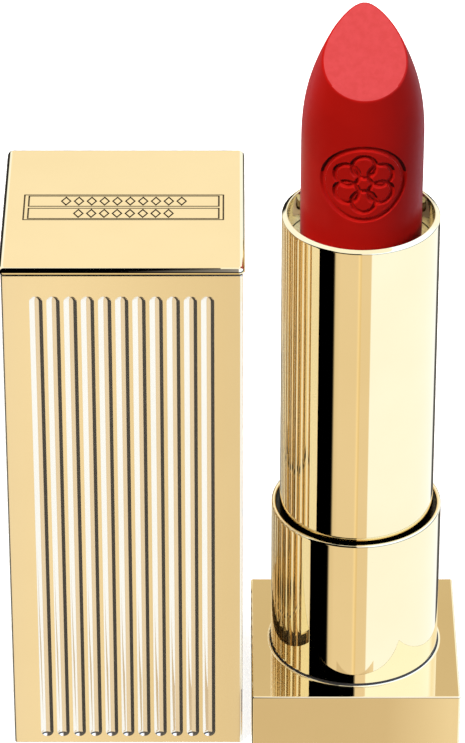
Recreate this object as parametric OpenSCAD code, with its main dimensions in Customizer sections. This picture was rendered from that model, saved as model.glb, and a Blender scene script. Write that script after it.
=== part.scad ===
// Twist-up lipstick case with a square fluted cap.
// Millimetres, +Z up. The origin is on the lipstick's axis, at the underside of its base.
// The bullet is drawn fully out, and the cap stands beside the case, mouth down.

/* [Base] */
// Width of the square base plate
base_w = 21.6; // [20.8:0.1:22]
// Height of the base plate
base_h = 6; // [5.8:0.1:6.4]

/* [Collar and tube] */
// Outer diameter of the collar
collar_d = 17.5; // [17.4:0.05:17.6]
// Height of the collar above the base plate
collar_h = 17.4; // [16:0.1:19]
// Outer diameter of the turning tube
tube_d = 15.8; // [15.75:0.01:15.85]
// Height of the tube's rim above the base plate
tube_h = 51.6; // [51:0.1:52.5]

/* [Bullet] */
// Diameter of the lipstick bullet
bullet_d = 12.1; // [11.9:0.05:12.2]
// Length of the bullet from its foot to its tip
bullet_h = 35.1; // [34.6:0.1:35.2]
// Slope of the flat slanted face, in degrees
facet_slope = 48; // [46:0.5:50]

/* [Mechanism] */
// Height that the bullet climbs between its two stops
travel = 24; // [22.5:0.5:24]
// Turns of the tube between the two stops
turns = 1.5; // [1.25:0.25:1.75]
// Diameter of the two lugs that run in the slots
lug_d = 1.8; // [1.5:0.1:1.9]

/* [Cap] */
// Width of the cap's fluted wall
cap_w = 23.7; // [23.4:0.1:24.5]
// Width of the cap's top plate
cap_plate_w = 24.1; // [23.6:0.1:25]
// Height of the cap
cap_h = 57.4; // [57.2:0.1:59]
// Distance from the case's axis to the cap's axis, to the left
cap_left = 23.6; // [23.2:0.1:40]
// Distance of the cap's axis behind the case's axis
cap_back = 1.3; // [0:0.1:10]
// Number of flutes on each side of the cap
flute_count = 11; // [7:2:11]
// Distance between neighbouring flutes
flute_pitch = 1.68; // [1.6:0.01:1.75]
// Width of one flute
flute_w = 1.32; // [1.2:0.02:1.5]
// Depth of one flute
flute_depth = 0.26; // [0.2:0.02:0.5]

/* [Hidden] */
$fn = 96;
e = 0.01;                            // overshoot of cutting shapes

gold = "#e8c98c";
pale_gold = "#f6dda4";
red = "#b01a18";
plastic_black = "#26221f";
plastic_cream = "#d9cdb4";
steel = "#9a9a98";
silicone = "#4a4742";

// Base
base_wall = 0.5;
corner_r = 0.3;                      // radius of the upright edges
edge_r = 0.2;                        // radius of the base plate's top edges
seat_z = base_h - 1.05;              // where the collar's spigot and the guide's flange stand
collar_r = collar_d / 2;
spigot_r = collar_r - 0.3;
bottom_t = 0.6;
weight_t = 2;
stem_z = bottom_t + weight_t + 0.1;  // lower end of the guide tube
insert_w = base_w - 2 * base_wall - 0.1;

// Tube and collar
rim_z = base_h + tube_h;
tube_r = tube_d / 2;
tube_wall = 0.45;
lip_w = 0.56;                        // width and height of the lip
lip_crown = 0.1;                     // width of the lip's level crown
lip_fall = 0.24;                     // how far its slope falls outward from the crown
tube_foot_z = base_h + 2.2;
collar_wall = 0.45;
collar_top = base_h + collar_h;
bush_play = 0.05;
bush_z = tube_foot_z + 0.2;
bush_top = collar_top - 3;

// Carrier and guide
lug_r = lug_d / 2;
lug_up = 2.2;                        // height of the lugs above the cup's foot
cup_h = 10.2;
cup_floor = 0.8;
cup_z = rim_z - 12.8;                // foot of the cup, with the bullet out
lug_z = cup_z + lug_up;
guide_in = 6.45;
guide_out = 6.95;
cup_r = guide_in - 0.07;
cup_in = bullet_d / 2 - 0.15;
shoulder_z = cup_z - travel - 0.2;   // stop under the cup, with the bullet in
cam_foot_z = 21.15;
cam_top_z = rim_z - 4.4;
guide_top = cam_top_z + 0.9;
cam_in = guide_out + 0.08;
cam_out = tube_r - tube_wall - 0.01;
brake_z = 14;
brake_r = 0.45;
lead = travel / turns;               // climb in one turn
slot_play = 0.1;

// Bullet
bullet_r = bullet_d / 2;
bullet_z = cup_z + cup_floor;
tip_z = bullet_z + bullet_h;

// Cap
plate_t = 0.62;
plate_edge_r = 0.6;
plate_gap = 0.25;                    // shadow gap between the plate and the shell
shell_top = cap_h - plate_t - plate_gap;
shell_wall = 1.1;
shell_roof = 0.8;
flute_low = 0.85;                    // lower end of the flutes
flute_high = cap_h - 3.2;            // upper end of the flutes
flute_r = (flute_w * flute_w / 4 + flute_depth * flute_depth) / (2 * flute_depth);
liner_w = cap_w - 2 * shell_wall - 0.1;
liner_in = collar_r + 0.2;
liner_out = liner_in + 0.8;
liner_foot = 0.6;
liner_roof_z = tube_h + 1.4;
liner_roof = 0.9;
grip_z = 9;
grip_h = 1.5;

// ---- shapes that repeat ----

// Square outline with rounded corners
module soft_square(w, r) {
    square([w, w - 2 * r], center = true);
    square([w - 2 * r, w], center = true);
    for (sx = [-1, 1], sy = [-1, 1])
        translate([sx * (w / 2 - r), sy * (w / 2 - r)]) circle(r = r);
}

// Square block standing on z = 0, with rounded upright edges
module soft_block(w, h, r) {
    linear_extrude(height = h) soft_square(w, r);
}

// The same block with its four top edges rounded by the radius of its upright edges.
// The rounds are cut off at z = 0, so a thin plate keeps a flat underside.
module pillow_block(w, h, r) {
    intersection() {
        translate([0, 0, h / 2]) cube([w + 1, w + 1, h], center = true);
        union() {
            soft_block(w, h - r, r);
            translate([0, 0, h - r - e]) linear_extrude(height = r + e) square(w - 2 * r, center = true);
            for (a = [0 : 90 : 270])
                rotate(a) translate([0, w / 2 - r, h - r]) {
                    rotate([0, 90, 0]) cylinder(r = r, h = w - 2 * r, center = true);
                    translate([w / 2 - r, 0, 0]) sphere(r = r);
                }
        }
    }
}

// Ring between two radii and two heights
module ring(r_in, r_out, z0, z1) {
    rotate_extrude() translate([r_in, z0]) square([r_out - r_in, z1 - z0]);
}

// Upright slot with round ends through both walls of a tube
module lug_slots(z0, z1, w) {
    translate([0, 0, (z0 + z1) / 2]) cube([2 * tube_r, w, z1 - z0], center = true);
    for (z = [z0, z1]) translate([0, 0, z]) rotate([0, 90, 0]) cylinder(d = w, h = 2 * tube_r, center = true);
}

// Everything of the cap is drawn about its own axis and stood beside the case here
module at_cap() {
    translate([-cap_left, cap_back, 0]) children();
}

// ---- base ----

module base_shell() {
    color(gold) difference() {
        pillow_block(base_w, base_h, edge_r);
        translate([0, 0, -e]) soft_block(base_w - 2 * base_wall, base_h - base_wall + e, corner_r / 2);
        cylinder(r = spigot_r + 0.05, h = base_h + e);
    }
}

module base_insert() {
    color(plastic_cream) difference() {
        translate([0, 0, bottom_t]) soft_block(insert_w, base_h - base_wall - bottom_t, corner_r / 2);
        translate([0, 0, bottom_t - e]) soft_block(insert_w - 2.2, weight_t + 0.1 + e, corner_r / 2);
        translate([0, 0, seat_z - 0.05]) cylinder(r = spigot_r + 0.05, h = base_h);
        cylinder(r = guide_out + 0.01, h = base_h);
    }
}

module base_weight() {
    color(steel) translate([0, 0, bottom_t]) soft_block(insert_w - 2.4, weight_t, corner_r / 2);
}

module bottom_plate() {
    color(plastic_black) difference() {
        soft_block(base_w - 2 * base_wall - 0.06, bottom_t - 0.02, corner_r / 2);
        translate([0, 0, -e]) cylinder(r = 7.1, h = 0.12 + e);
    }
}

// Blank round sticker, flush in its recess
module bottom_label() {
    color("white") cylinder(r = 7, h = 0.1);
}

module collar() {
    foot_r = 0.35;
    color(gold) rotate_extrude() difference() {
        union() {
            translate([collar_r - collar_wall, base_h]) square([collar_wall, collar_h - collar_wall / 2]);
            translate([collar_r - collar_wall / 2, collar_top - collar_wall / 2]) circle(d = collar_wall);
            translate([spigot_r - 0.45, seat_z]) square([0.45, base_h - seat_z + 0.6]);
            translate([spigot_r - 0.2, base_h]) square([collar_r - spigot_r + 0.2 + foot_r, foot_r]);
        }
        translate([collar_r + foot_r, base_h + foot_r]) circle(r = foot_r);
    }
}

module bearing_bush() {
    color(plastic_black) ring(tube_r + bush_play, collar_r - collar_wall - 0.01, bush_z, bush_top);
}

// Inner body: stem in the base, flange under the collar, two straight slots for the lugs
module guide_tube() {
    stem_in = 5.6;
    color(plastic_cream) difference() {
        rotate_extrude() polygon([
            [stem_in, stem_z], [guide_out, stem_z], [guide_out, seat_z],
            [spigot_r - 0.5, seat_z], [spigot_r - 0.5, base_h + 0.2], [guide_out, base_h + 0.2],
            [guide_out, brake_z - 0.5], [guide_out - 0.47, brake_z - 0.5],
            [guide_out - 0.47, brake_z + 0.5], [guide_out, brake_z + 0.5],
            [guide_out, cam_foot_z - 0.95], [cam_out - 0.06, cam_foot_z - 0.95],
            [cam_out - 0.06, cam_foot_z - 0.05], [guide_out, cam_foot_z - 0.05],
            [guide_out, cam_top_z + 0.1], [guide_out - 0.15, cam_top_z + 0.1],
            [guide_out - 0.15, guide_top], [guide_in, guide_top],
            [guide_in, shoulder_z], [stem_in, shoulder_z]
        ]);
        lug_slots(lug_z - travel, lug_z, lug_d + slot_play);
    }
}

module brake_ring() {
    color(silicone) rotate_extrude() translate([guide_out, brake_z]) circle(r = brake_r);
}

module cam_retainer() {
    color(pale_gold) ring(guide_out - 0.14, cam_out - 0.06, cam_top_z + 0.1, guide_top);
}

// ---- turning tube ----

module tube_shell() {
    inner = tube_r - lip_w;
    bevel = 0.06;
    shoulder = 0.12;
    color(gold) rotate_extrude() polygon([
        [tube_r - tube_wall, tube_foot_z], [tube_r, tube_foot_z],
        [tube_r, rim_z - lip_fall - shoulder], [tube_r - shoulder / 2, rim_z - lip_fall],
        [inner + lip_crown, rim_z], [inner + bevel, rim_z], [inner, rim_z - bevel],
        [inner, rim_z - lip_w + bevel], [inner + bevel, rim_z - lip_w], [tube_r - tube_wall, rim_z - lip_w]
    ]);
}

// One helical slot: a sector swept up the tube at the lead of the thread
module helix_slot() {
    mean_r = (cam_in + cam_out) / 2;
    climb = atan(lead / (2 * PI * mean_r));
    half = (lug_r + slot_play) / sin(climb) / mean_r * 180 / PI;
    steps = 4;
    h = travel + 2 * (lug_r + slot_play);
    low = lug_z - travel - lug_r - slot_play;
    arc = [for (i = [0 : steps]) half * (2 * i / steps - 1)];
    translate([0, 0, low]) rotate((low - lug_z) / lead * 360)
        linear_extrude(height = h, twist = -h / lead * 360, slices = 72, convexity = 6, $fn = 12)
            polygon(concat(
                [for (a = arc) (cam_in - 0.3) * [cos(a), sin(a)]],
                [for (i = [steps : -1 : 0]) (cam_out + 0.4) * [cos(arc[i]), sin(arc[i])]]
            ));
}

module cam_tube() {
    color(plastic_cream) difference() {
        ring(cam_in, cam_out, cam_foot_z, cam_top_z);
        helix_slot();
        rotate(180) helix_slot();
    }
}

// ---- carrier and bullet ----

module carrier_cup() {
    lug_reach = cam_out - 0.08;
    color(pale_gold) difference() {
        union() {
            translate([0, 0, cup_z]) cylinder(r = cup_r, h = cup_h);
            translate([0, 0, lug_z]) rotate([0, 90, 0]) cylinder(r = lug_r, h = 2 * lug_reach, center = true);
        }
        translate([0, 0, cup_z + cup_floor]) cylinder(r = cup_in, h = cup_h);
    }
}

// The moulded head stays straight in front. Its back leans in from back_z and its sides from side_z.
back_z = tip_z - 22.3;
side_z = tip_z - 14.8;
function rise(z, start) = max(z - start, 0);
function half_x(z) = bullet_r * pow(1 - pow(rise(z, side_z) / 19.4, 2.55), 1.44);
function head_depth(z) = 2 * bullet_r * pow(1 - pow(rise(z, back_z) / 44.3, 1.3), 1.13);

module bullet_body() {
    rings = 18;
    sides = 48;
    top = tip_z + 0.2;
    heights = concat(
        [cup_z + cup_h + 0.05],
        [for (i = [0 : rings]) back_z + (top - back_z) * (1 - pow(1 - i / rings, 1.5))]
    );
    points = [for (z = heights, s = [0 : sides - 1])
        [half_x(z) * cos(360 * s / sides), -bullet_r + head_depth(z) / 2 * (1 + sin(360 * s / sides)), z]];
    walls = [for (i = [0 : rings], s = [0 : sides - 1])
        let (n = (s + 1) % sides)
        [i * sides + s, (i + 1) * sides + s, (i + 1) * sides + n, i * sides + n]];
    under = [for (s = [0 : sides - 1]) s];
    over = [for (s = [sides - 1 : -1 : 0]) (rings + 1) * sides + s];
    polyhedron(points = points, faces = concat([under], walls, [over]), convexity = 4);
}

// Generic flower in a ring
module emblem_lines() {
    difference() {
        circle(r = 4.2);
        circle(r = 3.75);
    }
    for (a = [0 : 60 : 300]) rotate(a) translate([0, 1.9]) difference() {
        circle(r = 1.35);
        circle(r = 1.0);
    }
}

module bullet() {
    emblem_z = rim_z + 6.5;
    emblem_depth = 0.32;
    facet_low = [0, -bullet_r, tip_z - 7.4];
    color(red) difference() {
        union() {
            translate([0, 0, bullet_z]) cylinder(r = cup_in - 0.03, h = cup_h);
            bullet_body();
        }
        translate(facet_low) rotate([facet_slope, 0, 0]) translate([0, 0, 10]) cube([30, 40, 20], center = true);
        difference() {
            translate([0, -3, emblem_z]) rotate([90, 0, 0]) linear_extrude(height = bullet_r) emblem_lines();
            cylinder(r = bullet_r - emblem_depth, h = tip_z);
        }
    }
}

// ---- cap ----

// Flutes of one side, cut into the face at +Y
module flutes() {
    y = cap_w / 2 + flute_r - flute_depth;
    end = flute_w / 2;
    for (i = [0 : flute_count - 1]) translate([(i - (flute_count - 1) / 2) * flute_pitch, y, 0]) {
        translate([0, 0, flute_low + end]) cylinder(r = flute_r, h = flute_high - flute_low - 2 * end);
        for (z = [flute_low + end, flute_high - end]) translate([0, 0, z]) sphere(r = flute_r);
    }
}

module cap_shell() {
    color(gold) at_cap() difference() {
        soft_block(cap_w, shell_top, corner_r);
        translate([0, 0, -e]) soft_block(cap_w - 2 * shell_wall, shell_top - shell_roof + e, corner_r / 2);
        for (a = [0 : 90 : 270]) rotate(a) flutes();
    }
}

// Thin line round a rectangle
module outline(w, h, line) {
    difference() {
        square([w, h], center = true);
        square([w - 2 * line, h - 2 * line], center = true);
    }
}

module lozenge(w, h) {
    polygon([[-w / 2, 0], [0, -h / 2], [w / 2, 0], [0, h / 2]]);
}

// Stamped panel: a frame round two rows, and a line of lozenges in each row
module panel_lines() {
    line = 0.16;
    row_y = 1.22;
    gem_pitch = 1.28;
    gem = [1.1, 1.85];
    inner = 0.65;                    // size of a lozenge's inner outline against its outer one
    outline(20, 5.1, line);
    for (row = [[row_y, 10], [-row_y, 8]]) translate([0, row[0]]) {
        outline(19.1, 2.2, line);
        for (i = [0 : row[1] - 1]) translate([(i - (row[1] - 1) / 2) * gem_pitch, 0]) difference() {
            lozenge(gem[0], gem[1]);
            lozenge(gem[0] * inner, gem[1] * inner);
        }
    }
}

module cap_top_plate() {
    engraving = 0.12;
    color(pale_gold) at_cap() difference() {
        union() {
            translate([0, 0, cap_h - plate_t]) pillow_block(cap_plate_w, plate_t, plate_edge_r);
            translate([0, 0, shell_top]) soft_block(cap_w - 0.5, plate_gap + 0.1, corner_r);
        }
        translate([0, 0, cap_h - engraving]) linear_extrude(height = 1) panel_lines();
    }
}

module cap_liner() {
    color(plastic_black) at_cap() difference() {
        union() {
            ring(liner_in, liner_out, liner_foot, liner_roof_z + e);
            translate([0, 0, liner_foot]) soft_block(liner_w, 1.2, corner_r / 2);
            translate([0, 0, liner_roof_z]) soft_block(liner_w, liner_roof, corner_r / 2);
            for (a = [45 : 90 : 315]) rotate(a) translate([liner_out - 0.2, -0.4, liner_foot])
                cube([4.2, 0.8, liner_roof_z - liner_foot + e]);
        }
        translate([0, 0, -e]) cylinder(r = liner_in, h = liner_roof_z + e);
        ring(liner_in - 0.5, liner_in + 0.45, grip_z, grip_z + grip_h + 0.1);
    }
}

module cap_weight() {
    foot = liner_roof_z + liner_roof;
    h = shell_top - shell_roof - foot - 0.1;
    color(steel) at_cap() translate([0, 0, foot]) soft_block(liner_w - 2, h, corner_r / 2);
}

module cap_grip_ring() {
    color(silicone) at_cap() ring(collar_r + 0.05, liner_in + 0.44, grip_z + 0.05, grip_z + grip_h + 0.05);
}

base_shell();
base_insert();
base_weight();
bottom_plate();
bottom_label();
collar();
bearing_bush();
guide_tube();
brake_ring();
cam_retainer();
tube_shell();
cam_tube();
carrier_cup();
bullet();
cap_shell();
cap_top_plate();
cap_liner();
cap_weight();
cap_grip_ring();
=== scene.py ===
"""The looks of a twist-up lipstick case: polished gold, a moulded red bullet and a fluted cap."""
import math

import bmesh
import bpy
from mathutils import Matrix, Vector
from mathutils.geometry import delaunay_2d_cdt


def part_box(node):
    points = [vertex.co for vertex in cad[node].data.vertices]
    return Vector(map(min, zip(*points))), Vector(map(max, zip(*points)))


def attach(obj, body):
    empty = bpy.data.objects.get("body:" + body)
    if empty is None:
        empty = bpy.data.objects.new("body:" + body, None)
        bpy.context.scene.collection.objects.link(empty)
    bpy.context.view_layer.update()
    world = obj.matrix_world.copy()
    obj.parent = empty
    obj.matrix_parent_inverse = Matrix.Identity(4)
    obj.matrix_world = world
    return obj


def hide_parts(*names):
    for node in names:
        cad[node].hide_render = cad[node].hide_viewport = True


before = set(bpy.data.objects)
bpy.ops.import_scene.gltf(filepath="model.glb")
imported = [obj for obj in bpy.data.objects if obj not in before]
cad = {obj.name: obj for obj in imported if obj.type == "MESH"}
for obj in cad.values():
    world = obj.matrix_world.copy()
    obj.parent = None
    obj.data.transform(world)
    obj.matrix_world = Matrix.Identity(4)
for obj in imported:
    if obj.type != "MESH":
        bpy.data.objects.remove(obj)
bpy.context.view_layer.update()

MM = 0.001
SHARP_DEG = 32           # edges that fold more than this are shaded sharp
TURNS = 192              # steps round a lathed piece
CORNER_STEPS = 12        # steps round an upright rounded corner
CORNER_SPARE = 0.02      # an upright corner's radius is this much more than the round of the edge above it
WELD = 0.0005            # points closer than this become one
SLIVER = 0.0002          # edges shorter than this are dissolved
PICK_SPARE = 0.01        # allowance when faces are picked by their place

# ---- sizes in millimetres, from the frame where it has them ----


def box_mm(node):
    low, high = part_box(node)
    return low / MM, high / MM


tube_low, tube_high = box_mm("tube_shell")
collar_low, collar_high = box_mm("collar")
base_low, base_high = box_mm("base_shell")
bullet_low, bullet_high = box_mm("bullet")
cup_high = box_mm("carrier_cup")[1]
shell_low, shell_high = box_mm("cap_shell")
plate_low, plate_high = box_mm("cap_top_plate")

tube_r, rim_z = tube_high.x, tube_high.z
base_top = base_high.z
cap_centre = ((plate_low.x + plate_high.x) / 2, (plate_low.y + plate_high.y) / 2)


# ---- mesh building ----


def arc(centre, radius, start, end, steps):
    """Points of an arc in a (radius, height) or (x, y) plane, from start to end in degrees."""
    turns = [math.radians(start + (end - start) * i / steps) for i in range(steps + 1)]
    return [(centre[0] + radius * math.cos(t), centre[1] + radius * math.sin(t)) for t in turns]


def smooth_step(low, high, x):
    t = min(max((x - low) / (high - low), 0.0), 1.0)
    return t * t * (3 - 2 * t)


def skin(loops, closed=False):
    """Quads between loops that hold the same number of points, each loop a ring."""
    points = [p for loop in loops for p in loop]
    count = len(loops[0])
    pairs = [(i, i + 1) for i in range(len(loops) - 1)]
    if closed:
        pairs.append((len(loops) - 1, 0))
    faces = [
        (a * count + s, a * count + (s + 1) % count, b * count + (s + 1) % count, b * count + s)
        for a, b in pairs
        for s in range(count)
    ]
    return points, faces


def lathe(profile):
    """A closed outline of (radius, height) points turned round the upright axis."""
    turns = [2 * math.pi * s / TURNS for s in range(TURNS)]
    loops = [[(r * math.cos(t), r * math.sin(t), z) for t in turns] for r, z in profile]
    return skin(loops, closed=True)


def square_loop(half, corner_r, z, centre=(0, 0)):
    """A ring round a square with rounded corners."""
    points = []
    for corner in range(4):
        sx = 1 if corner in (0, 3) else -1
        sy = 1 if corner in (0, 1) else -1
        middle = (centre[0] + sx * (half - corner_r), centre[1] + sy * (half - corner_r))
        turned = arc(middle, corner_r, 90 * corner, 90 * corner + 90, CORNER_STEPS)
        points += [(x, y, z) for x, y in turned]
    return points


def circle_loop(radius, z):
    """A ring with as many points as square_loop, each beside its partner there."""
    count = 4 * (CORNER_STEPS + 1)
    first = 45 - 360 / count * CORNER_STEPS / 2
    turned = arc((0, 0), radius, first, first + 360 * (count - 1) / count, count - 1)
    return [(x, y, z) for x, y in turned]


def rounded_edge(half, corner_r, edge_r, z, centre=(0, 0), steps=6, way=1):
    """Rings that round a square block's edge, from its wall to its face at z: way is 1 for the top."""
    rings = []
    for i in range(steps + 1):
        t = math.radians(90 * i / steps)
        inset = edge_r * (1 - math.cos(t))
        height = z - way * edge_r * (1 - math.sin(t))
        rings.append(square_loop(half - inset, corner_r - inset, height, centre))
    return rings


def add_object(name, data):
    made = bpy.data.objects.new(name, data)
    bpy.context.scene.collection.objects.link(made)
    return made


def make_piece(name, parts, body, slot, *nodes):
    """One smooth piece from (points, faces) parts in millimetres, welded, that stands for CAD nodes."""
    work = bmesh.new()
    for points, faces in parts:
        made = [work.verts.new(Vector(p) * MM) for p in points]
        for face in faces:
            work.faces.new([made[i] for i in face])
    bmesh.ops.remove_doubles(work, verts=work.verts, dist=WELD * MM)
    bmesh.ops.dissolve_degenerate(work, edges=work.edges, dist=SLIVER * MM)
    bmesh.ops.recalc_face_normals(work, faces=work.faces)
    mesh = bpy.data.meshes.new(name)
    work.to_mesh(mesh)
    work.free()
    mesh.shade_smooth()
    mesh.set_sharp_from_angle(angle=math.radians(SHARP_DEG))
    piece = add_object(name, mesh)
    weighted = piece.modifiers.new("weighted_normals", "WEIGHTED_NORMAL")
    weighted.weight = 100                 # large faces stay flat, and the rounds beside them bend
    weighted.keep_sharp = True
    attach(piece, body)
    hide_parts(*nodes)
    return piece


# ---- base ----

BASE_WALL = 0.5
BASE_EDGE_R = 0.2
BASE_CHAMFER = 0.08                   # of the lower edge
BASE_HOLE_INSET = 0.6                 # from the outside of the collar's foot to the hole below it


def base_shell():
    half = base_high.x
    corner_r = BASE_EDGE_R + CORNER_SPARE
    hole_r = collar_high.x - BASE_HOLE_INSET
    foot = [
        square_loop(half - BASE_CHAMFER, corner_r - BASE_CHAMFER, 0),
        square_loop(half, corner_r, BASE_CHAMFER),
    ]
    rings = foot + rounded_edge(half, corner_r, BASE_EDGE_R, base_top) + [
        circle_loop(hole_r, base_top),
        circle_loop(hole_r, base_top - BASE_WALL),
        square_loop(half - BASE_WALL, corner_r / 2, base_top - BASE_WALL),
        square_loop(half - BASE_WALL, corner_r / 2, 0),
    ]
    return make_piece("base_cover", [skin(rings, closed=True)], "base", "gold_metal", "base_shell")


COLLAR_WALL = 0.45
COLLAR_FOOT_R = 0.35                  # fillet where the collar meets the base
FILLET_START = 5                      # degrees from the base plate to the fillet's second point
SPIGOT_STEP = 0.3                     # the collar is this much narrower where it passes through the base
SPIGOT_RISE = 0.6                     # height above the base at which its inside widens


def collar():
    outer = collar_high.x - COLLAR_FOOT_R
    top = collar_high.z
    seat = collar_low.z
    rim_r = COLLAR_WALL / 2
    inner = outer - COLLAR_WALL
    spigot = outer - SPIGOT_STEP
    bore = spigot - COLLAR_WALL
    foot = (outer + COLLAR_FOOT_R, base_top + COLLAR_FOOT_R)
    profile = (
        [(bore, seat), (spigot, seat), (spigot, base_top), (outer + COLLAR_FOOT_R, base_top)]
        + arc(foot, COLLAR_FOOT_R, 270 - FILLET_START, 180, 8)
        + arc((outer - rim_r, top - rim_r), rim_r, 0, 180, 12)
        + [(inner, base_top + SPIGOT_RISE), (bore, base_top + SPIGOT_RISE)]
    )
    return make_piece("collar_sleeve", [lathe(profile)], "base", "gold_metal", "collar")


# ---- turning tube ----

TUBE_WALL = 0.45
LIP_W = 0.56
LIP_CROWN = 0.1                       # width of the lip's level crown
LIP_LEAN = 31                         # slope that falls outward from the crown, in degrees
LIP_R = 0.07
LIP_UNDERCUT = 0.1                    # rise of the lip's underside from the wall to its inner edge
SHOULDER_R = 0.16                     # radius that rolls the slope into the tube's wall
TUBE_CHAMFER = 0.05                   # of the tube's lower edge


def tube():
    foot = tube_low.z
    inner = tube_r - TUBE_WALL
    lip_in = tube_r - LIP_W
    lean = math.radians(LIP_LEAN)
    slope_start = lip_in + LIP_CROWN + LIP_R * math.sin(lean)
    slope_end = tube_r - SHOULDER_R * (1 - math.sin(lean))
    fall = (LIP_R + SHOULDER_R) * (1 - math.cos(lean)) + (slope_end - slope_start) * math.tan(lean)
    shoulder = (tube_r - SHOULDER_R, rim_z - fall - SHOULDER_R * (2 * math.cos(lean) - 1))
    profile = (
        [(inner + TUBE_CHAMFER, foot), (tube_r - TUBE_CHAMFER, foot), (tube_r, foot + TUBE_CHAMFER)]
        + arc(shoulder, SHOULDER_R, 0, 90 - LIP_LEAN, 8)
        + arc((lip_in + LIP_CROWN, rim_z - LIP_R), LIP_R, 90 - LIP_LEAN, 90, 4)
        + arc((lip_in + LIP_R, rim_z - LIP_R), LIP_R, 90, 180, 5)
        + [(lip_in, rim_z - LIP_W + LIP_UNDERCUT), (inner, rim_z - LIP_W), (inner, foot + TUBE_CHAMFER)]
    )
    return make_piece("outer_tube", [lathe(profile)], "tube", "gold_metal", "tube_shell")


# ---- bullet ----

BULLET_R = bullet_high.x
TIP_Z = bullet_high.z
BACK_Z = TIP_Z - 22.3                 # the head's back leans in from here
SIDE_Z = TIP_Z - 14.8                 # and its sides from here
BACK_CURVE = (44.3, 1.3, 1.13)        # height in which it would close, then two powers that bend it
SIDE_CURVE = (19.4, 2.55, 1.44)
FACET_SLOPE = math.tan(math.radians(48))
FACET_LOW_Z = TIP_Z - 7.4             # lowest point of the slanted face, at the front
FACET_EDGE_R = 0.16                   # softness of the slanted face's rim
HALVINGS = 40                         # steps of the search for the slanted face's rim

STEM_INSET = 0.18                     # the bullet is this much narrower inside the cup
STEM_CHAMFER = (0.96, 0.2)            # share of its width at the bottom, and height of the chamfer
STEP_RISE = 0.05                      # gap between the cup's rim and the step on the bullet
STEP_CHAMFER = (0.99, 0.08)

EMBLEM_Z = rim_z + 6.5
EMBLEM_DEPTH = 0.32
EMBLEM_STEP = 0.05                    # mesh spacing under the emblem
EMBLEM_REACH = 4.35
EMBLEM_TURN = 47                      # degrees to each side of the front in which the mesh is fine
EMBLEM_RING = (3.975, 0.225)          # radius of an engraved ring's middle line, and half its width
PETAL_RING = (1.175, 0.2)
PETALS = 6
PETAL_OUT = 1.9                       # from the emblem's middle to a petal's middle
EMBLEM_BANK = (0.06, -0.1)            # the groove's side starts and ends this far outside a line's edge

COARSE_TURNS = 72                     # steps round the rest of the bullet
WALL_ROWS = 22                        # rows from the emblem up to the slanted face
EDGE_ROWS = 4                         # rows round the slanted face's rim
FACET_ROWS = 10                       # rows from that rim to the middle of the slanted face
LOW_ROW = 1.5                         # height above the step of the row between it and the emblem


def taper(z, start, reach, bend, close):
    """Share of the full width that the head keeps at height z, where it narrows from start up."""
    return (1 - (max(z - start, 0) / reach) ** bend) ** close


def head_point(turn, z):
    """A point of the moulded head: straight in front, narrower at its sides and back as it rises."""
    x = BULLET_R * taper(z, SIDE_Z, *SIDE_CURVE) * math.cos(turn)
    y = -BULLET_R + BULLET_R * taper(z, BACK_Z, *BACK_CURVE) * (1 + math.sin(turn))
    return Vector((x, y, z))


def facet_height(turn):
    """Where the wall at this turn meets the slanted face, by halving."""
    low, high = FACET_LOW_Z - FACET_EDGE_R, TIP_Z
    for _ in range(HALVINGS):
        middle = (low + high) / 2
        above = middle - FACET_LOW_Z - FACET_SLOPE * (head_point(turn, middle).y + BULLET_R)
        low, high = (low, middle) if above > 0 else (middle, high)
    return low


def emblem_cut(x, z):
    """Depth of the engraving at a place on the front: a flower of rings inside a ring."""
    line = abs(math.hypot(x, z) - EMBLEM_RING[0]) - EMBLEM_RING[1]
    for petal in range(PETALS):
        t = math.radians(90 + 360 / PETALS * petal)
        away = math.hypot(x - PETAL_OUT * math.cos(t), z - PETAL_OUT * math.sin(t))
        line = min(line, abs(away - PETAL_RING[0]) - PETAL_RING[1])
    return EMBLEM_DEPTH * smooth_step(*EMBLEM_BANK, line)


def bullet_turns():
    """Angles round the bullet, close together in front, where the emblem is."""
    front = math.radians(EMBLEM_TURN)
    fine = round(2 * front * BULLET_R / EMBLEM_STEP)
    rest = 2 * math.pi - 2 * front
    turns = [-math.pi / 2 - front + 2 * front * i / fine for i in range(fine)]
    turns += [-math.pi / 2 + front + rest * i / COARSE_TURNS for i in range(COARSE_TURNS)]
    return turns


def stem_rings(turns):
    """The narrower part inside the cup, up to the step just above the cup's rim."""
    stem_r = BULLET_R - STEM_INSET
    low_z, step_z = bullet_low.z, cup_high.z + STEP_RISE
    rings = (
        (stem_r * STEM_CHAMFER[0], low_z), (stem_r, low_z + STEM_CHAMFER[1]), (stem_r, step_z),
        (BULLET_R * STEP_CHAMFER[0], step_z),
    )
    return [[(r * math.cos(t), r * math.sin(t), z) for t in turns] for r, z in rings]


def engraved_point(turn, z):
    """A point of the head's wall, pushed in where the emblem is."""
    p = head_point(turn, z)
    if p.y < 0 and math.hypot(p.x, z - EMBLEM_Z) < EMBLEM_REACH:
        inward = Vector((-p.x, -p.y, 0)).normalized()
        p += inward * emblem_cut(p.x, z - EMBLEM_Z)
    return p


def wall_rings(turns):
    """The wall from the step to the top of the emblem, close together over the emblem."""
    step_z = cup_high.z + STEP_RISE
    rows = round(2 * EMBLEM_REACH / EMBLEM_STEP)
    heights = [step_z + STEP_CHAMFER[1], step_z + LOW_ROW]
    heights += [EMBLEM_Z - EMBLEM_REACH + 2 * EMBLEM_REACH * i / rows for i in range(rows + 1)]
    return [[engraved_point(t, z) for t in turns] for z in heights]


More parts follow.
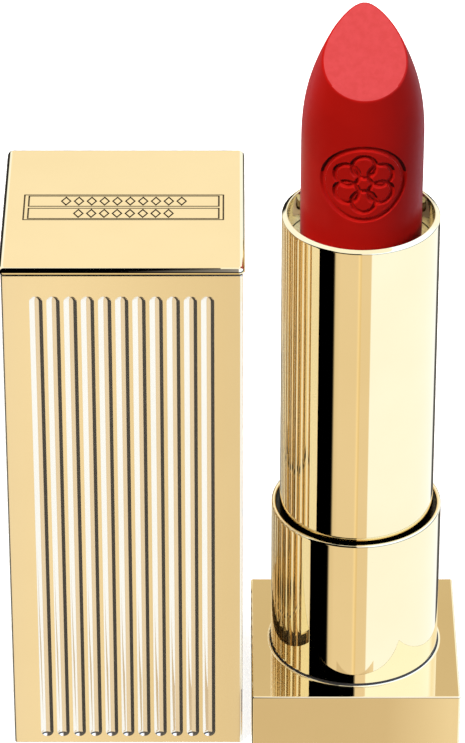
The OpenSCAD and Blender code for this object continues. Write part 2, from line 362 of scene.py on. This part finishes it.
def head_rings(turns):
    """The wall above the emblem and the round into the slanted face; also that face's middle."""
    last = EMBLEM_Z + EMBLEM_REACH
    tops = [facet_height(t) for t in turns]
    rings = []
    for i in range(1, WALL_ROWS + 1):
        k = i / WALL_ROWS
        rings.append([head_point(t, last + (z - FACET_EDGE_R - last) * k) for t, z in zip(turns, tops)])
    below = rings[-1]
    rim = [head_point(t, z) for t, z in zip(turns, tops)]
    middle = sum(rim, Vector()) / len(rim)
    inside = [p + (middle - p).normalized() * FACET_EDGE_R for p in rim]
    for i in range(1, EDGE_ROWS + 1):
        k = i / EDGE_ROWS
        rings.append([
            (1 - k) ** 2 * a + 2 * k * (1 - k) * b + k * k * c for a, b, c in zip(below, rim, inside)
        ])
    for i in range(1, FACET_ROWS):
        rings.append([p + (middle - p) * (i / FACET_ROWS) for p in inside])
    return rings, middle


def bullet():
    turns = bullet_turns()
    head, middle = head_rings(turns)
    points, faces = skin(stem_rings(turns) + wall_rings(turns) + head)
    count = len(turns)
    last = len(points) - count
    points.append(middle)
    faces += [(last + s, last + (s + 1) % count, len(points) - 1) for s in range(count)]
    faces.append(tuple(reversed(range(count))))
    return make_piece("moulded_bullet", [(points, faces)], "carrier", "lipstick_red", "bullet")


# ---- cap ----

CAP_HALF = (shell_high.x - shell_low.x) / 2
CAP_WALL = 1.1
CAP_ROOF = 0.8
CAP_CORNER_R = 0.3
CAP_FOOT_R = 0.15
CAP_TOP_R = 0.1
FLUTES = 11
FLUTE_PITCH = 1.68
FLUTE_HALF = 0.66
FLUTE_DEPTH = 0.26
FLUTE_LIP_R = 0.04
FLUTE_LIP_DEPTH = 0.012               # the rolled lips reach no deeper than this
FLUTE_MARGIN = 0.1                    # allowance round the flutes when their faces are picked
FLUTE_LOW_Z = 0.85
FLUTE_HIGH_Z = plate_high.z - 3.2
STRAIGHT_LOW_Z = FLUTE_LOW_Z + FLUTE_HALF      # the flutes are straight between these heights
STRAIGHT_HIGH_Z = FLUTE_HIGH_Z - FLUTE_HALF
FLUTE_STEPS = 8                       # steps across half a flute's hollow
FLUTE_LIP_STEPS = 3
FLUTE_END_STEPS = 14                  # steps round a flute's end


def flute_profile():
    """(distance from the flute's middle line, depth): a hollow arc that rolls out into the face."""
    slope = 2 * math.atan(FLUTE_DEPTH / FLUTE_HALF)
    hollow_r = FLUTE_HALF / math.sin(slope) - FLUTE_LIP_R
    profile = []
    for i in range(FLUTE_STEPS):
        t = slope * i / FLUTE_STEPS
        profile.append((hollow_r * math.sin(t), FLUTE_DEPTH - hollow_r * (1 - math.cos(t))))
    for i in range(FLUTE_LIP_STEPS + 1):
        t = slope * (1 - i / FLUTE_LIP_STEPS)
        profile.append((FLUTE_HALF - FLUTE_LIP_R * math.sin(t), FLUTE_LIP_R * (1 - math.cos(t))))
    return profile


def flute_parts(middle, profile):
    """One flute: its straight hollow and its two round ends."""
    across = [(-r, d) for r, d in reversed(profile)] + profile[1:]
    points = [(middle + x, d, z) for x, d in across for z in (STRAIGHT_LOW_Z, STRAIGHT_HIGH_Z)]
    parts = [(points, [(2 * i, 2 * i + 1, 2 * i + 3, 2 * i + 2) for i in range(len(across) - 1)])]
    turns = [math.pi * s / FLUTE_END_STEPS for s in range(FLUTE_END_STEPS + 1)]
    n = len(profile)
    faces = [(s * n + i, s * n + i + 1, (s + 1) * n + i + 1, (s + 1) * n + i)
             for s in range(FLUTE_END_STEPS) for i in range(1, n - 1)]
    faces += [(s * n, s * n + 1, (s + 1) * n + 1) for s in range(FLUTE_END_STEPS)]
    for z, way in ((STRAIGHT_LOW_Z, -1), (STRAIGHT_HIGH_Z, 1)):
        points = [(middle + r * math.cos(t), d, z + way * r * math.sin(t)) for t in turns for r, d in profile]
        parts.append((points, faces))
    return parts


def fluted_side(low_z, high_z):
    """One side of the cap in (across, depth, height): flat strips round a row of round-ended flutes."""
    profile = flute_profile()
    edge = CAP_HALF - CAP_CORNER_R
    middles = [(i - (FLUTES - 1) / 2) * FLUTE_PITCH for i in range(FLUTES)]
    parts = [part for middle in middles for part in flute_parts(middle, profile)]
    for z, way, border in ((STRAIGHT_LOW_Z, -1, low_z), (STRAIGHT_HIGH_Z, 1, high_z)):
        outline = [(-edge, 0, border), (-edge, 0, z)]
        for middle in middles:
            turned = arc((0, 0), FLUTE_HALF, 180, 0, FLUTE_END_STEPS)
            outline += [(middle + x, 0, z + way * y) for x, y in turned]
        outline += [(edge, 0, z), (edge, 0, border)]
        parts.append((outline, [tuple(range(len(outline)))]))
    lands = [-edge] + [m + side * FLUTE_HALF for m in middles for side in (-1, 1)] + [edge]
    low, high = STRAIGHT_LOW_Z, STRAIGHT_HIGH_Z
    for left, right in zip(lands[::2], lands[1::2]):
        corners = [(left, 0, low), (right, 0, low), (right, 0, high), (left, 0, high)]
        parts.append((corners, [(0, 1, 2, 3)]))
    return parts


def turned_side(side, points):
    """Points of a fluted side put on one of the cap's four sides, counted from the front."""
    turn = math.radians(90 * side)
    placed = []
    for across, depth, z in points:
        out = CAP_HALF - depth
        x = across * math.cos(turn) + out * math.sin(turn)
        y = across * math.sin(turn) - out * math.cos(turn)
        placed.append((cap_centre[0] + x, cap_centre[1] + y, z))
    return placed


def closed_off(rings):
    """Rings skinned, with a flat face across the last one."""
    points, faces = skin(rings)
    faces.append(tuple(range(len(points) - len(rings[-1]), len(points))))
    return points, faces


def cap_shell():
    low_z, high_z = CAP_FOOT_R, shell_high.z - CAP_TOP_R
    side_parts = fluted_side(low_z, high_z)
    parts = [(turned_side(side, points), faces) for side in range(4) for points, faces in side_parts]

    heights = (low_z, STRAIGHT_LOW_Z, STRAIGHT_HIGH_Z, high_z)
    rows = [square_loop(CAP_HALF, CAP_CORNER_R, z, cap_centre) for z in heights]
    points, faces = skin(rows)
    on_corner = [f for f in faces if (f[0] % len(rows[0])) % (CORNER_STEPS + 1) != CORNER_STEPS]
    parts.append((points, on_corner))

    foot = rounded_edge(CAP_HALF, CAP_CORNER_R, CAP_FOOT_R, 0, cap_centre, steps=4, way=-1)
    inner = CAP_HALF - CAP_WALL
    foot += [square_loop(inner, CAP_CORNER_R / 2, z, cap_centre) for z in (0, shell_high.z - CAP_ROOF)]
    parts.append(closed_off(foot))
    top = rounded_edge(CAP_HALF, CAP_CORNER_R, CAP_TOP_R, shell_high.z, cap_centre, steps=3)
    parts.append(closed_off(top))
    return make_piece("fluted_cap", parts, "cap", "gold_metal", "cap_shell")


PLATE_T = 0.62
PLATE_EDGE_R = 0.6
PLATE_CHAMFER = 0.015                 # of the plate's lower edge
PLATE_NECK_INSET = 0.25               # from the cap's wall to the neck under the plate
PANEL = (20, 5.1)
PANEL_ROW = (19.1, 2.2)
PANEL_ROW_Y = 1.22
PANEL_LINE = 0.16
PANEL_DEPTH = 0.1
GEM = (1.1, 1.85)
GEM_INNER = 0.65
GEM_PITCH = 1.28
ROW_GEMS = ((1, 10), (-1, 8))         # side of the panel's middle line, and lozenges in that row
CDT_TRIANGLES = 0                     # the triangulation's output: triangles over the outline's hull
CDT_MERGE = 1e-7                      # points closer than this count as one


def panel_loops():
    """Closed outlines of the stamped lines as (points, height): down one side of a line, up the other."""
    loops = []
    line_steps = ((0, 0), (0.3, -PANEL_DEPTH), (0.7, -PANEL_DEPTH), (1, 0))

    def rectangle(size, centre_y):
        for share, height in line_steps:
            w = size[0] / 2 - PANEL_LINE * share
            h = size[1] / 2 - PANEL_LINE * share
            low, high = centre_y - h, centre_y + h
            loops.append(([(-w, low), (w, low), (w, high), (-w, high)], height))

    def lozenge(x, y):
        for share, height in line_steps:
            k = 1 - (1 - GEM_INNER) * share
            w, h = GEM[0] / 2 * k, GEM[1] / 2 * k
            loops.append(([(x - w, y), (x, y - h), (x + w, y), (x, y + h)], height))

    rectangle(PANEL, 0)
    for side, gems in ROW_GEMS:
        rectangle(PANEL_ROW, side * PANEL_ROW_Y)
        for i in range(gems):
            lozenge((i - (gems - 1) / 2) * GEM_PITCH, side * PANEL_ROW_Y)
    return loops


def cap_top_plate():
    half = (plate_high.x - plate_low.x) / 2
    top = plate_high.z
    neck = CAP_HALF - PLATE_NECK_INSET
    under = top - PLATE_T
    corner_r = PLATE_EDGE_R + CORNER_SPARE
    rings = [
        square_loop(neck, CAP_CORNER_R, shell_high.z, cap_centre),
        square_loop(neck, CAP_CORNER_R, under, cap_centre),
        square_loop(half - PLATE_CHAMFER, corner_r, under, cap_centre),
    ]
    edge = rounded_edge(half, corner_r, PLATE_EDGE_R, top, cap_centre, steps=12)
    points, faces = skin(rings + edge)
    faces.append(tuple(range(len(edge[-1]))))
    border = [(x - cap_centre[0], y - cap_centre[1]) for x, y, _ in edge[-1]]
    flat, edges, heights = [], [], []
    for loop, height in [(border, 0)] + panel_loops():
        start = len(flat)
        flat += [Vector(p) for p in loop]
        heights += [top + height] * len(loop)
        edges += [(start + i, start + (i + 1) % len(loop)) for i in range(len(loop))]
    spots, _, triangles, origins, _, _ = delaunay_2d_cdt(flat, edges, [], CDT_TRIANGLES, CDT_MERGE)
    placed = [
        (p.x + cap_centre[0], p.y + cap_centre[1], heights[origin[0]]) for p, origin in zip(spots, origins)
    ]
    parts = [(points, faces), (placed, [tuple(t) for t in triangles])]
    return make_piece("cap_lid_plate", parts, "cap", "gold_metal", "cap_top_plate")


# ---- materials ----


def add_node(tree, kind, sockets=None, **settings):
    """A node with its settings, and constants for its inputs by name or number."""
    made = tree.nodes.new(kind)
    for key, value in settings.items():
        setattr(made, key, value)
    for key, value in (sockets or {}).items():
        made.inputs[key].default_value = value
    return made


def map_range(tree, value, low, high, to_low=0.0, to_high=1.0):
    """A socket's value with low..high stretched to to_low..to_high, and clamped there."""
    made = add_node(tree, "ShaderNodeMapRange", {
        "From Min": low, "From Max": high, "To Min": to_low, "To Max": to_high,
    })
    tree.links.new(value, made.inputs["Value"])
    return made.outputs["Result"]


def colour_ramp(tree, factor, stops):
    """A colour ramp through (position, colour) stops, read at the socket called factor."""
    made = add_node(tree, "ShaderNodeValToRGB")
    elements = made.color_ramp.elements
    while len(elements) < len(stops):
        elements.new(1.0)
    for element, (position, colour) in zip(elements, stops):
        element.position = position
        element.color = (*colour, 1)
    tree.links.new(factor, made.inputs["Fac"])
    return made.outputs["Color"]


def noise(tree, scale, detail, stretch=(1, 1, 1)):
    """Noise over the object's own space; stretch scales its frequency along each axis."""
    place = add_node(tree, "ShaderNodeTexCoord")
    mapping = add_node(tree, "ShaderNodeMapping", {"Scale": stretch})
    made = add_node(tree, "ShaderNodeTexNoise", {"Scale": scale, "Detail": detail, "Roughness": 0.55})
    tree.links.new(place.outputs["Object"], mapping.inputs["Vector"])
    tree.links.new(mapping.outputs["Vector"], made.inputs["Vector"])
    return made.outputs["Fac"]


def new_material(name, sockets):
    material = bpy.data.materials.new(name)
    material.use_nodes = True
    shader = material.node_tree.nodes["Principled BSDF"]
    for key, value in sockets.items():
        shader.inputs[key].default_value = value
    return material, material.node_tree, shader


TONE_SPAN = (0.35, 0.65)              # noise values at which the two tones are pure
ROUGH_SPAN = (0.3, 0.7)               # noise values of the smoothest and the roughest grain


def surface(name, tones, rough, tone_scale, grain_scale, bump_mm, sockets=None, stretch=(1, 1, 1)):
    """A finish that drifts between two tones, with a grain that varies its roughness and stands up."""
    material, tree, shader = new_material(name, sockets or {})
    drift = noise(tree, tone_scale, detail=3.0)
    tree.links.new(colour_ramp(tree, drift, tuple(zip(TONE_SPAN, tones))), shader.inputs["Base Color"])
    grain = noise(tree, grain_scale, detail=4.0, stretch=stretch)
    tree.links.new(map_range(tree, grain, *ROUGH_SPAN, *rough), shader.inputs["Roughness"])
    bump = add_node(tree, "ShaderNodeBump", {"Strength": 1.0, "Distance": bump_mm * MM})
    tree.links.new(grain, bump.inputs["Height"])
    tree.links.new(bump.outputs["Normal"], shader.inputs["Normal"])
    return material


CAP_SHINE = {"Metallic": 0.86, "Specular IOR Level": 0.3}

# Each finish: its two tones, the range of its roughness, the scales of the drift and of the grain,
# the height of the grain in mm, the shader's constants, and the grain's stretch
FINISHES = {
    "polished_gold": (
        ((0.90, 0.735, 0.435), (0.93, 0.765, 0.465)), (0.015, 0.035),
        60, 900, 0.00002, {"Metallic": 1.0}, (1, 1, 0.04)),
    "cap_gold": (
        ((0.93, 0.80, 0.56), (0.95, 0.82, 0.58)), (0.04, 0.06),
        60, 700, 0.00003, CAP_SHINE, (1, 1, 0.1)),
    # paler gold in the flute hollows: a painted highlight that makes their reflections whiter
    "flute_highlight_gold": (
        ((0.94, 0.82, 0.64), (0.96, 0.84, 0.66)), (0.04, 0.06),
        60, 700, 0.00003, CAP_SHINE, (1, 1, 0.1)),
    # dark metal in the stamped lines of the lid plate: painted shade
    "painted_line_shade": (
        ((0.10, 0.066, 0.030), (0.15, 0.10, 0.045)), (0.35, 0.5),
        900, 2500, 0.0005, {"Metallic": 1.0}),
    # near black: painted shade on the collar's foot fillet and under the lid plate
    "painted_gap_shade": (
        ((0.020, 0.016, 0.012), (0.035, 0.028, 0.020)), (0.5, 0.65),
        400, 2500, 0.0005),
    "inner_gold": (
        ((0.62, 0.50, 0.27), (0.68, 0.55, 0.31)), (0.22, 0.32),
        80, 1200, 0.0002, {"Metallic": 1.0}),
    "bullet_skin": (
        ((0.53, 0.008, 0.005), (0.59, 0.010, 0.006)), (0.38, 0.46),
        150, 1600, 0.0004, {"Specular IOR Level": 0.08, "Sheen Weight": 0.25, "Sheen Roughness": 0.25}),
    # a lighter, pinker red on the slanted face of the same wax: painted sheen
    "bullet_facet_sheen": (
        ((0.66, 0.055, 0.052), (0.70, 0.066, 0.064)), (0.6, 0.7),
        1400, 3200, 0.0015, {"Specular IOR Level": 0.2}),
    # darker red on the downward walls of the engraved emblem: painted shade
    "bullet_groove_shade": (
        ((0.05, 0.002, 0.001), (0.08, 0.003, 0.002)), (0.5, 0.6),
        150, 1600, 0.0004, {"Specular IOR Level": 0.1}),
    "cream_plastic": (
        ((0.62, 0.55, 0.42), (0.66, 0.59, 0.46)), (0.35, 0.45),
        200, 2500, 0.001),
    "black_plastic": (
        ((0.012, 0.011, 0.010), (0.022, 0.020, 0.018)), (0.35, 0.5),
        200, 2500, 0.002),
    "steel": (
        ((0.42, 0.42, 0.41), (0.50, 0.50, 0.49)), (0.3, 0.45),
        150, 1500, 0.002, {"Metallic": 1.0}),
    "silicone": (
        ((0.05, 0.047, 0.042), (0.07, 0.065, 0.06)), (0.55, 0.7),
        200, 2500, 0.002),
    "label_paper": (
        ((0.78, 0.77, 0.74), (0.84, 0.83, 0.81)), (0.5, 0.65),
        500, 6000, 0.002),
}


def paint(finish, *objects):
    for obj in objects:
        obj.data.materials.clear()
        obj.data.materials.append(finish)


def repaint(obj, finish, chosen):
    """A second finish on the faces that chosen() picks."""
    obj.data.materials.append(finish)
    for polygon in obj.data.polygons:
        if chosen(polygon):
            polygon.material_index = len(obj.data.materials) - 1


FACET_COSINE = 0.995                  # of the angle within which a face belongs to the slanted face
FOOT_SHADE_LEAN = (0.12, 0.8)               # upward shares of the normals on the collar's foot fillet that is painted dark as shade
GROOVE_LEAN = -0.2                    # upward share below which an engraved wall is painted as shade


# faces of the slanted face, which get the painted sheen
def on_facet(polygon):
    slope = math.atan(FACET_SLOPE)
    across = polygon.normal.dot(Vector((0, -math.sin(slope), math.cos(slope))))
    return across > FACET_COSINE and polygon.center.z > FACET_LOW_Z * MM


def in_painted_foot_shade(polygon):
    """The steeper part of the fillet where the collar meets the base plate, painted near black as shade."""
    rise = polygon.center.z / MM - base_top
    return 0 < rise < COLLAR_FOOT_R and FOOT_SHADE_LEAN[0] < polygon.normal.z < FOOT_SHADE_LEAN[1]


def in_groove_shade(polygon):
    """The walls of the engraved lines that face down, where the light from above does not reach: painted dark
    as shade.
    """
    centre = polygon.center / MM
    near = math.hypot(centre.x, centre.z - EMBLEM_Z) < EMBLEM_REACH
    return centre.y < 0 and near and polygon.normal.z < GROOVE_LEAN


def in_flute(polygon):
    """Faces set back from the cap's flat sides beyond the flutes' lips: hollows, and the corners' middle;
    painted paler as a highlight.
    """
    centre = polygon.center / MM
    depth = CAP_HALF - max(abs(centre.x - cap_centre[0]), abs(centre.y - cap_centre[1]))
    level = FLUTE_LOW_Z - FLUTE_MARGIN < centre.z < FLUTE_HIGH_Z + FLUTE_MARGIN
    return level and FLUTE_LIP_DEPTH < depth < FLUTE_DEPTH + FLUTE_MARGIN


def in_panel_line(polygon):
    """The slopes and floors of the lines stamped in the lid plate, painted dark as shade."""
    centre = polygon.center / MM
    inside = abs(centre.x - cap_centre[0]) < PANEL[0] / 2 and abs(centre.y - cap_centre[1]) < PANEL[1] / 2
    depth = plate_high.z - centre.z
    return inside and PICK_SPARE < depth < PANEL_DEPTH + PICK_SPARE


# the neck and underside of the lid plate, painted near black as the shade in the gap under the plate
def under_plate_shade(polygon):
    return polygon.center.z / MM < plate_high.z - PLATE_T + PICK_SPARE


# ---- studio ----

CAMERA_AT = Vector((-12.77, -387.14, 280.85)) * MM
CAMERA_PITCH = math.radians(32)
SENSOR = 36.0                         # mm along the picture's longer side
LENS = 218.035                        # focal length in mm


def camera():
    data = bpy.data.cameras.new("camera")
    data.sensor_width = SENSOR
    data.lens = LENS
    data.clip_start, data.clip_end = 0.01, 10
    eye = add_object("camera", data)
    eye.location = CAMERA_AT
    eye.rotation_euler = (math.pi / 2 - CAMERA_PITCH, 0, 0)
    bpy.context.scene.camera = eye


DARK = (0.0, 0.0, 0.0)
SLATE = (0.10, 0.10, 0.11)
BACK = (0.72, 0.66, 0.52)
DIM = (0.82, 0.72, 0.54)
MIDDLE = (0.89, 0.79, 0.61)
WARM = (1.11, 0.97, 0.69)
GOLD = (1.01, 0.87, 0.59)
DEEP = (0.87, 0.71, 0.43)
BRIGHT = (1.12, 1.26, 1.48)
TOP = (1.08, 1.04, 0.93)
HIGH_MIDDLE = (0.97, 1.03, 1.30)      # the tone that turns into MIDDLE after one more reflection in gold
HIGH_BRIGHT = (1.22, 1.62, 2.6)

# Surroundings by direction, in degrees round from the camera's side of the object, positive to the right
LOW_BANDS = (
    (-180, BACK), (-170, BACK), (-167, SLATE), (-145, SLATE), (-141, BRIGHT), (-89, BRIGHT), (-86, DARK),
    (-39.5, DARK), (-37, DIM), (-30, MIDDLE), (-4.5, MIDDLE), (-3.5, WARM), (-2.2, GOLD), (-0.1, DEEP),
    (0.8, MIDDLE), (14.2, MIDDLE), (14.8, BRIGHT), (148, BRIGHT), (151, SLATE), (167, SLATE), (170, BACK),
    (180, BACK),
)
HIGH_BANDS = (
    (-180, TOP), (-172, TOP), (-164, BRIGHT), (-94, BRIGHT), (-88, DARK), (-0.3, DARK), (0.8, HIGH_MIDDLE),
    (14.2, HIGH_MIDDLE), (14.8, HIGH_BRIGHT), (127, HIGH_BRIGHT), (140, BRIGHT), (164, BRIGHT), (172, TOP),
    (180, TOP),
)
RAMP_PEAK = 3.0                       # brightness of a ramp colour of 1
HIGH_FROM = (-0.12, 0.1)              # the high bands take over between these heights of a direction

# Share of that light by height: a dark ring round the horizon draws a thin line along every rounded edge
HORIZON = ((-1, 1), (-0.16, 1), (-0.10, 0.02), (0.18, 0.02), (0.26, 1), (1, 1))
CLEAR_FROM = (120, 135)               # the ring fades out between these directions, towards the back right

MIX_A, MIX_B, MIX_RESULT = 6, 7, 2    # the colour sockets of a Mix node


def glow_stops(stops):
    """Stops of a ramp whose colours are brighter than 1, as shares of RAMP_PEAK."""
    return [(position, [c / RAMP_PEAK for c in colour]) for position, colour in stops]


def band_ramp(tree, bands, angle):
    """Bands over the whole circle; angle is a socket in radians from -pi to pi."""
    share = map_range(tree, angle, -math.pi, math.pi)
    stops = [(degrees / 360 + 0.5, colour) for degrees, colour in bands]
    return colour_ramp(tree, share, glow_stops(stops))


def studio_world():
    """Surroundings that only reflections see: low bands for upright walls, high ones for level tops."""
    world = bpy.data.worlds.new("studio")
    bpy.context.scene.world = world
    world.use_nodes = True
    world.cycles_visibility.diffuse = False
    tree = world.node_tree
    link = tree.links.new
    back = tree.nodes["Background"]
    back.inputs["Strength"].default_value = RAMP_PEAK

    place = add_node(tree, "ShaderNodeTexCoord")
    split = add_node(tree, "ShaderNodeSeparateXYZ")
    towards = add_node(tree, "ShaderNodeMath", {1: -1}, operation="MULTIPLY")
    azimuth = add_node(tree, "ShaderNodeMath", operation="ARCTAN2")
    link(place.outputs["Generated"], split.inputs["Vector"])
    link(split.outputs["Y"], towards.inputs[0])
    link(split.outputs["X"], azimuth.inputs[0])
    link(towards.outputs["Value"], azimuth.inputs[1])
    angle, height = azimuth.outputs["Value"], split.outputs["Z"]

    bands = add_node(tree, "ShaderNodeMix", data_type="RGBA")
    link(map_range(tree, height, *HIGH_FROM), bands.inputs["Factor"])
    link(band_ramp(tree, LOW_BANDS, angle), bands.inputs[MIX_A])
    link(band_ramp(tree, HIGH_BANDS, angle), bands.inputs[MIX_B])

    stops = [(level / 2 + 0.5, (share, share, share)) for level, share in HORIZON]
    ring = colour_ramp(tree, map_range(tree, height, -1.0, 1.0), stops)
    kept = add_node(tree, "ShaderNodeMath", operation="MAXIMUM")
    link(ring, kept.inputs[0])
    link(map_range(tree, angle, *map(math.radians, CLEAR_FROM)), kept.inputs[1])
    shade = add_node(tree, "ShaderNodeMix", {"Factor": 1.0}, data_type="RGBA", blend_type="MULTIPLY")
    link(bands.outputs[MIX_RESULT], shade.inputs[MIX_A])
    link(kept.outputs["Value"], shade.inputs[MIX_B])
    link(shade.outputs[MIX_RESULT], back.inputs["Color"])


# Soft round lights: place and aim in metres, diameter, watts
LIGHTS = {
    "key": ((-0.38, -0.40, 0.72), (0, 0, 0.05), 0.35, 7.2),
    "top": ((0, 0.1, 0.95), (0, 0, 0.04), 0.9, 2.5),
    "right_fill": ((0.65, -0.3, 0.35), (0, 0, 0.05), 0.5, 2.0),
    "back_fill": ((-0.3, 0.7, 0.5), (0, 0, 0.05), 0.6, 3),
}


def area_light(name, at, aim, size, watts):
    data = bpy.data.lights.new(name, "AREA")
    data.shape = "DISK"
    data.size = size
    data.energy = watts
    lamp = add_object(name, data)
    lamp.location = Vector(at)
    lamp.rotation_euler = (Vector(aim) - Vector(at)).to_track_quat("-Z", "Y").to_euler()
    lamp.visible_glossy = False


def upright_sheet(name, left, right, y, low, high, finish):
    mesh = bpy.data.meshes.new(name)
    corners = ((left, y, low), (right, y, low), (right, y, high), (left, y, high))
    mesh.from_pydata([Vector(c) * MM for c in corners], [], [(0, 1, 2, 3)])
    made = add_object(name, mesh)
    paint(finish, made)
    return made


def card(name, left, right, y, low, high, *glows):
    """A glowing card that only reflections see, its colour running from left to right."""
    finish, tree, shader = new_material(name, {
        "Base Color": (0, 0, 0, 1), "Specular IOR Level": 0, "Emission Strength": RAMP_PEAK,
    })
    place = add_node(tree, "ShaderNodeTexCoord")
    split = add_node(tree, "ShaderNodeSeparateXYZ")
    tree.links.new(place.outputs["Generated"], split.inputs["Vector"])
    glow = colour_ramp(tree, split.outputs["X"], glow_stops(glows))
    tree.links.new(glow, shader.inputs["Emission Color"])
    made = upright_sheet(name, left, right, y, low, high, finish)
    made.visible_camera = made.visible_diffuse = made.visible_shadow = made.visible_transmission = False
    return made


LIP_GLOW = (1.1, 1.2, 1.3)
BACK_GLOW = (0.72, 0.62, 0.44)
LIP_CARD_AT = (0, -4, 86)


def cards():
    """Cards for single faces: the lip from above, the base's top from behind, both front faces from below."""
    lip = card("lip_card", -14, 14, 0, 0, 15, (0, LIP_GLOW), (1, LIP_GLOW))
    lip.location = Vector(LIP_CARD_AT) * MM
    lip.rotation_euler.x = math.pi / 2
    card("back_card", -13, 14, 36, 18, 42, (0, BACK_GLOW), (1, BACK_GLOW))
    card("base_card", -12, 12.2, -30, -18, -8,
         (0, (0.72, 0.61, 0.44)), (0.66, (0.73, 0.62, 0.45)), (0.95, (0.93, 0.84, 0.67)))


FLOOR_HALF = 6000
FLOOR_GAP = 0.02                      # from the floor up to the part, so that no faces coincide
FLOOR_GLOW = 0.8


def floor():
    """A pale floor that glows a little, so that the shadows on it stay light."""
    glow = {"Emission Color": (1, 1, 1, 1), "Emission Strength": FLOOR_GLOW}
    finish = surface("pale_floor", ((0.88, 0.88, 0.88), (0.90, 0.90, 0.90)), (0.6, 0.7), 4, 60, 0.001, glow)
    plane = upright_sheet("floor", -FLOOR_HALF, FLOOR_HALF, 0, -FLOOR_HALF, FLOOR_HALF, finish)
    plane.rotation_euler.x = -math.pi / 2
    plane.location.z = (base_low.z - FLOOR_GAP) * MM
    plane.visible_glossy = plane.visible_diffuse = False


def studio():
    view = bpy.context.scene.view_settings
    view.view_transform = "Standard"
    view.look = "None"
    studio_world()
    floor()
    cards()
    for name, light in LIGHTS.items():
        area_light(name, *light)


# ---- the object ----

looks = {name: surface(name, *values) for name, values in FINISHES.items()}
sleeve = collar()
paint(looks["polished_gold"], base_shell(), sleeve, tube())
# painted shade on the collar's foot fillet
repaint(sleeve, looks["painted_gap_shade"], in_painted_foot_shade)
cap = cap_shell()
paint(looks["cap_gold"], cap)
# painted highlight in the flute hollows
repaint(cap, looks["flute_highlight_gold"], in_flute)
plate = cap_top_plate()
paint(looks["polished_gold"], plate)
# painted shade in the stamped lines of the lid plate
repaint(plate, looks["painted_line_shade"], in_panel_line)
# painted shade in the gap under the lid plate
repaint(plate, looks["painted_gap_shade"], under_plate_shade)
red = bullet()
paint(looks["bullet_skin"], red)
# painted sheen on the slanted face
repaint(red, looks["bullet_facet_sheen"], on_facet)
# painted shade on the emblem's downward walls
repaint(red, looks["bullet_groove_shade"], in_groove_shade)
paint(looks["inner_gold"], cad["carrier_cup"], cad["cam_retainer"])
paint(looks["cream_plastic"], cad["guide_tube"], cad["cam_tube"], cad["base_insert"])
paint(looks["black_plastic"], cad["bearing_bush"], cad["bottom_plate"], cad["cap_liner"])
paint(looks["steel"], cad["base_weight"], cad["cap_weight"])
paint(looks["silicone"], cad["brake_ring"], cad["cap_grip_ring"])
paint(looks["label_paper"], cad["bottom_label"])

studio()
camera()
